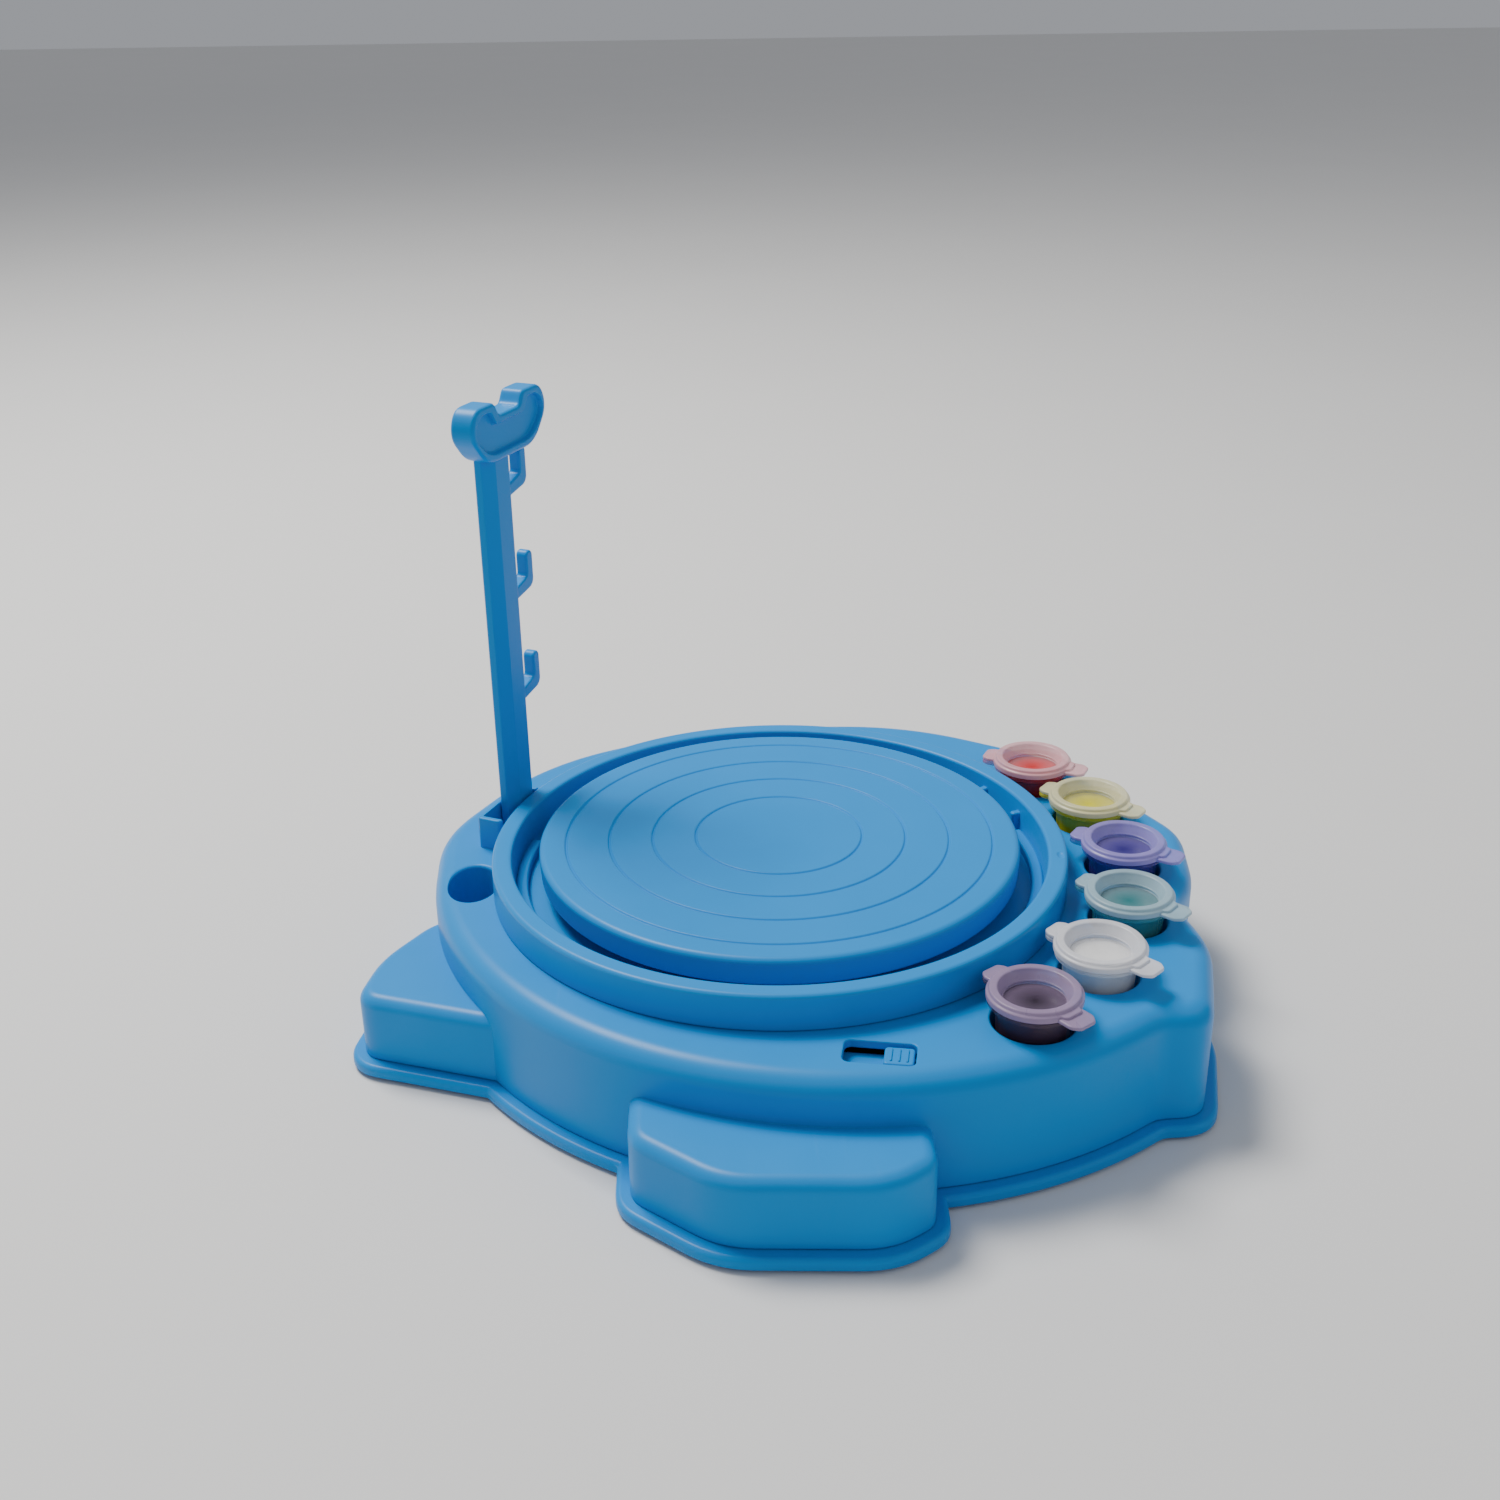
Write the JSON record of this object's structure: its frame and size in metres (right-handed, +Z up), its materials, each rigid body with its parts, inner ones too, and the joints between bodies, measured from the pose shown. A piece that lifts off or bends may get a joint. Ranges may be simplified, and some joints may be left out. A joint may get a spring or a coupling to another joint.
{
  "type": "pottery wheel",
  "caption": "Tabletop battery pottery wheel: grooved turntable in a splash basin, slide switch, lidded paint pots and a lift-out tool mast.",
  "frame": {"origin": "where the turntable's spin axis meets the table, at the centre foot's underside", "axes": "+Z up along the spin axis, +Y away from the user towards the back, +X to the user's right where the paint pots are"},
  "size_m": [0.2691, 0.261, 0.184],
  "materials": {
    "blue_plastic": "satin-gloss moulded light blue plastic",
    "white_plastic": "natural white gear plastic",
    "black_plastic": "black switch plastic",
    "clear_plastic": "translucent frosted plastic",
    "steel": "bright plated steel",
    "brass": "turned brass",
    "rubber": "black non-slip rubber",
    "battery_wrap": "plain wrapped dry cell",
    "wire_red": "red insulated wire",
    "wire_black": "black insulated wire",
    "paint_black": "wet acrylic paint",
    "paint_white": "wet acrylic paint",
    "paint_teal": "wet acrylic paint",
    "paint_indigo": "wet acrylic paint",
    "paint_yellow": "wet acrylic paint",
    "paint_red": "wet acrylic paint"
  },
  "bodies": {
    "base": {"base_housing": "blue_plastic", "base_tray": "blue_plastic", "splash_basin": "blue_plastic", "foot_centre": "rubber", "foot_1": "rubber", "foot_2": "rubber", "foot_3": "rubber", "foot_4": "rubber", "foot_5": "rubber", "cover_screw_1": "steel", "cover_screw_2": "steel", "cover_screw_3": "steel", "cover_screw_4": "steel", "battery_door": "blue_plastic", "battery_door_screw": "steel", "battery_1": "battery_wrap", "battery_2": "battery_wrap", "battery_3": "battery_wrap", "battery_4": "battery_wrap", "contact_bridge_1": "steel", "contact_bridge_2": "steel", "contact_bridge_3": "steel", "contact_terminal_1": "steel", "contact_terminal_2": "steel", "gear_plate": "white_plastic", "upper_bush": "brass", "lower_bush": "brass", "idler_pin": "steel", "motor_can": "steel", "motor_cap": "white_plastic", "switch_body": "black_plastic", "wire_battery_motor": "wire_red", "wire_switch_motor": "wire_black", "wire_battery_switch": "wire_red"},
    "turntable": {"turntable": "blue_plastic", "spindle": "steel", "spindle_gear": "white_plastic"},
    "idler": {"idler_gear": "white_plastic"},
    "motor_rotor": {"motor_pinion": "brass", "motor_shaft": "steel"},
    "switch": {"switch_slider": "blue_plastic"},
    "mast": {"tool_mast": "blue_plastic"},
    "pot_black": {"pot_black": "clear_plastic", "paint_black": "paint_black"},
    "lid_black": {"lid_black": "clear_plastic"},
    "pot_white": {"pot_white": "clear_plastic", "paint_white": "paint_white"},
    "lid_white": {"lid_white": "clear_plastic"},
    "pot_teal": {"pot_teal": "clear_plastic", "paint_teal": "paint_teal"},
    "lid_teal": {"lid_teal": "clear_plastic"},
    "pot_indigo": {"pot_indigo": "clear_plastic", "paint_indigo": "paint_indigo"},
    "lid_indigo": {"lid_indigo": "clear_plastic"},
    "pot_yellow": {"pot_yellow": "clear_plastic", "paint_yellow": "paint_yellow"},
    "lid_yellow": {"lid_yellow": "clear_plastic"},
    "pot_red": {"pot_red": "clear_plastic", "paint_red": "paint_red"},
    "lid_red": {"lid_red": "clear_plastic"}
  },
  "joints": [
    {"name": "turntable_spin", "type": "hinge", "parent": "base", "child": "turntable", "pos_m": [0, 0, 0.054], "axis": [0, 0, 1], "continuous": true},
    {"name": "idler_spin", "type": "hinge", "parent": "base", "child": "idler", "pos_m": [-0.01349, 0.03338, 0.013], "axis": [0, 0, 1], "continuous": true},
    {"name": "motor_spin", "type": "hinge", "parent": "base", "child": "motor_rotor", "pos_m": [-0.00278, 0.05351, 0.01], "axis": [0, 0, 1], "continuous": true},
    {"name": "switch_slide", "type": "slide", "parent": "base", "child": "switch", "axis": [-0.9854, 0.1702, 0], "range_m": [0, 0.0085]},
    {"name": "mast_lift", "type": "slide", "parent": "base", "child": "mast", "axis": [0, 0, 1], "range_m": [0, 0.045]},
    {"name": "pot_black_lift", "type": "slide", "parent": "base", "child": "pot_black", "axis": [0, 0, 1], "range_m": [0, 0.025]},
    {"name": "lid_black_hinge", "type": "hinge", "parent": "pot_black", "child": "lid_black", "pos_m": [0.0557, -0.07234, 0.04735], "axis": [-0.7986, -0.6018, 0], "range_deg": [0, 85]},
    {"name": "pot_white_lift", "type": "slide", "parent": "base", "child": "pot_white", "axis": [0, 0, 1], "range_m": [0, 0.025]},
    {"name": "lid_white_hinge", "type": "hinge", "parent": "pot_white", "child": "lid_white", "pos_m": [0.07671, -0.05017, 0.04735], "axis": [-0.7193, -0.6947, 0], "range_deg": [0, 85]},
    {"name": "pot_teal_lift", "type": "slide", "parent": "base", "child": "pot_teal", "axis": [0, 0, 1], "range_m": [0, 0.025]},
    {"name": "lid_teal_hinge", "type": "hinge", "parent": "pot_teal", "child": "lid_teal", "pos_m": [0.09047, -0.02184, 0.04735], "axis": [-0.6691, -0.7431, 0], "range_deg": [0, 90]},
    {"name": "pot_indigo_lift", "type": "slide", "parent": "base", "child": "pot_indigo", "axis": [0, 0, 1], "range_m": [0, 0.025]},
    {"name": "lid_indigo_hinge", "type": "hinge", "parent": "pot_indigo", "child": "lid_indigo", "pos_m": [0.09423, 0.00848, 0.04735], "axis": [-0.5592, -0.829, 0], "range_deg": [0, 100]},
    {"name": "pot_yellow_lift", "type": "slide", "parent": "base", "child": "pot_yellow", "axis": [0, 0, 1], "range_m": [0, 0.025]},
    {"name": "lid_yellow_hinge", "type": "hinge", "parent": "pot_yellow", "child": "lid_yellow", "pos_m": [0.09037, 0.04177, 0.04735], "axis": [-0.6157, -0.788, 0], "range_deg": [0, 105]},
    {"name": "pot_red_lift", "type": "slide", "parent": "base", "child": "pot_red", "axis": [0, 0, 1], "range_m": [0, 0.025]},
    {"name": "lid_red_hinge", "type": "hinge", "parent": "pot_red", "child": "lid_red", "pos_m": [0.07463, 0.06848, 0.04735], "axis": [-0.454, -0.891, 0], "range_deg": [0, 120]}
  ],
  "couplings": [
    {"joint": "idler_spin", "follows": "turntable_spin", "ratio": -5},
    {"joint": "motor_spin", "follows": "turntable_spin", "ratio": 18.75}
  ]
}
